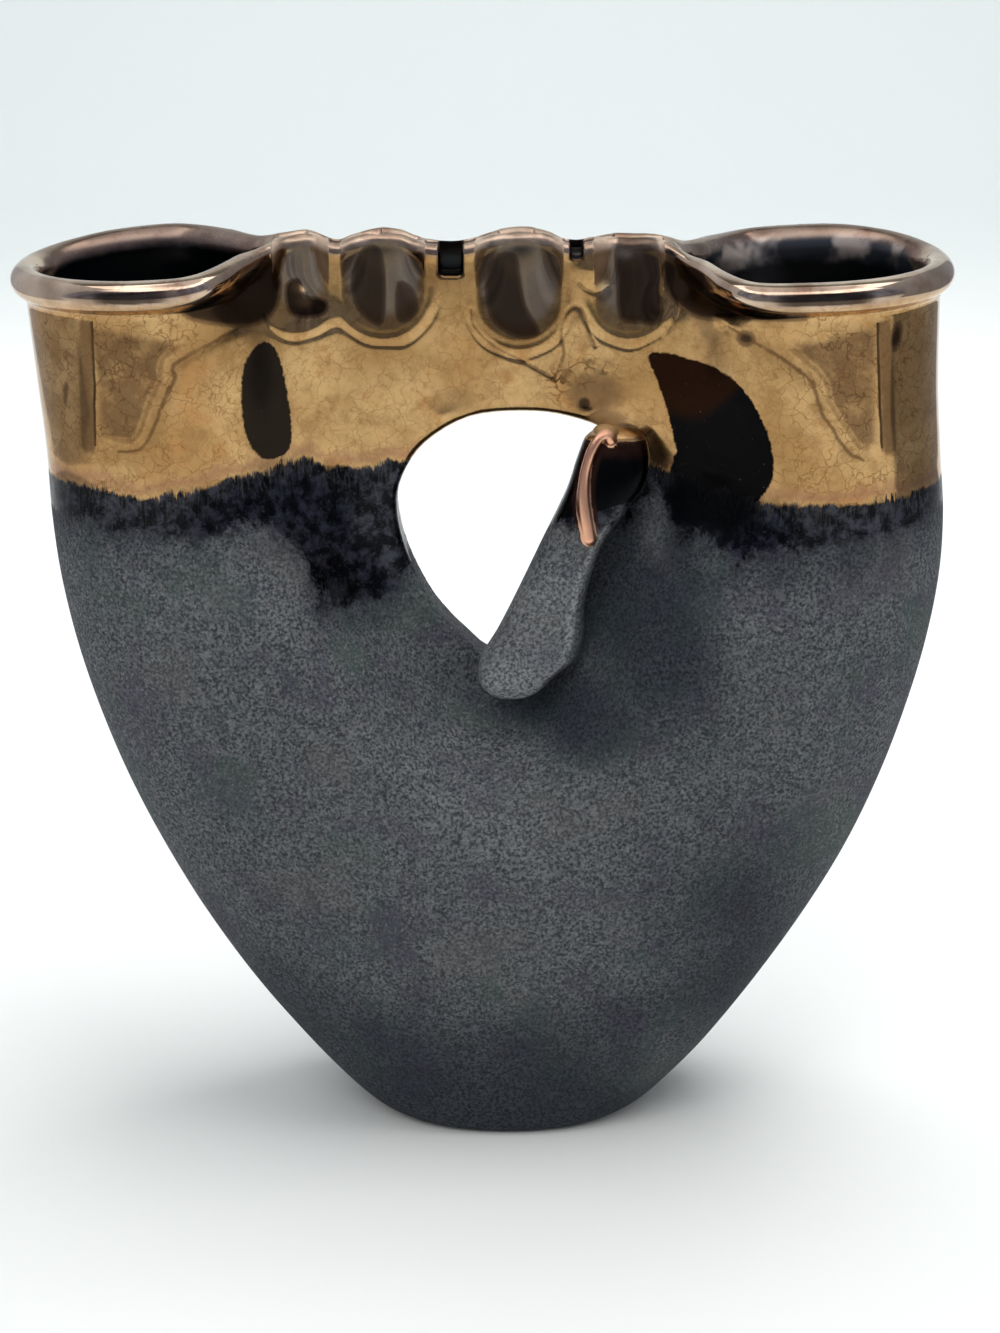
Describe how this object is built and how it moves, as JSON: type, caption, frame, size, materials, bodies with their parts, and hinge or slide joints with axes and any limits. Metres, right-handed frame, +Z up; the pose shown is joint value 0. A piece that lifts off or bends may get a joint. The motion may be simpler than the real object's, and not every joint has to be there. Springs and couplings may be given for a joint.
{
  "type": "raku vase",
  "caption": "Flattened hand-formed vase with a round mouth at each shoulder, a pinched bridge between them and a window cut through; bronze glaze above, matte smoked clay below.",
  "frame": {"origin": "centre of the flat foot, on the plane that the vase stands on", "axes": "+Z up, +X to the right seen from the front, -Y out of the front face, the one with the folded flap"},
  "size_m": [0.1885, 0.0628, 0.1912],
  "materials": {
    "smoked_clay": "matte, carbon-blackened bare clay with fine grey speckle",
    "bronze_glaze": "mirror-bright bronze lustre glaze with fine craze lines",
    "copper_glaze": "copper-brown lustre glaze, thin and glossy over the rolled lip"
  },
  "bodies": {
    "root": {"foot_base": "smoked_clay", "belly_wall": "smoked_clay", "left_arm_wall": "smoked_clay", "right_arm_wall": "smoked_clay", "left_neck_wall": "bronze_glaze", "right_neck_wall": "bronze_glaze", "left_rim_roll": "copper_glaze", "right_rim_roll": "copper_glaze", "pinched_bridge": "bronze_glaze", "folded_flap": "smoked_clay"}
  },
  "joints": []
}
